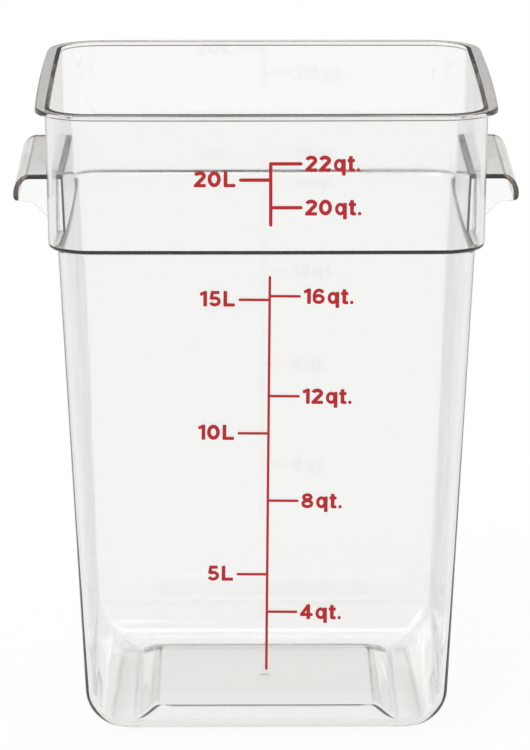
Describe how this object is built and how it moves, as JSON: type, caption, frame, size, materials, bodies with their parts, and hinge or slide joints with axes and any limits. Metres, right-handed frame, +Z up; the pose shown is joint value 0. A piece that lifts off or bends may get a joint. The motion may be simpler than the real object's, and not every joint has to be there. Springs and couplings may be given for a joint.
{
  "type": "food storage container",
  "caption": "Tall square clear plastic food storage container with a wide rim, a shouldered tapered tub, a side grip on each side and a red printed volume scale.",
  "frame": {"origin": "centre of the bounding box's bottom, in the plane of the foot that the container stands on", "axes": "+Z up out of the mouth, -Y out of the printed front wall, the grips on the -X and +X walls"},
  "size_m": [0.3124, 0.284, 0.4008],
  "materials": {
    "clear_plastic": "clear moulded plastic, polished",
    "red_ink": "printed ink, satin"
  },
  "bodies": {
    "root": {"container_body": "clear_plastic", "mark_10L_1_one": "red_ink", "mark_10L_2_zero": "red_ink", "mark_10L_3_L": "red_ink", "mark_12qt_1_one": "red_ink", "mark_12qt_2_two": "red_ink", "mark_12qt_3_q": "red_ink", "mark_12qt_4_t": "red_ink", "mark_12qt_5_dot": "red_ink", "mark_15L_1_one": "red_ink", "mark_15L_2_five": "red_ink", "mark_15L_3_L": "red_ink", "mark_16qt_1_one": "red_ink", "mark_16qt_2_six": "red_ink", "mark_16qt_3_q": "red_ink", "mark_16qt_4_t": "red_ink", "mark_16qt_5_dot": "red_ink", "mark_20L_1_two": "red_ink", "mark_20L_2_zero": "red_ink", "mark_20L_3_L": "red_ink", "mark_20qt_1_two": "red_ink", "mark_20qt_2_zero": "red_ink", "mark_20qt_3_q": "red_ink", "mark_20qt_4_t": "red_ink", "mark_20qt_5_dot": "red_ink", "mark_22qt_1_two": "red_ink", "mark_22qt_2_two": "red_ink", "mark_22qt_3_q": "red_ink", "mark_22qt_4_t": "red_ink", "mark_22qt_5_dot": "red_ink", "mark_4qt_1_four": "red_ink", "mark_4qt_2_q": "red_ink", "mark_4qt_3_t": "red_ink", "mark_4qt_4_dot": "red_ink", "mark_5L_1_five": "red_ink", "mark_5L_2_L": "red_ink", "mark_8qt_1_eight": "red_ink", "mark_8qt_2_q": "red_ink", "mark_8qt_3_t": "red_ink", "mark_8qt_4_dot": "red_ink", "scale_line_lower": "red_ink", "scale_line_upper": "red_ink"}
  },
  "joints": []
}
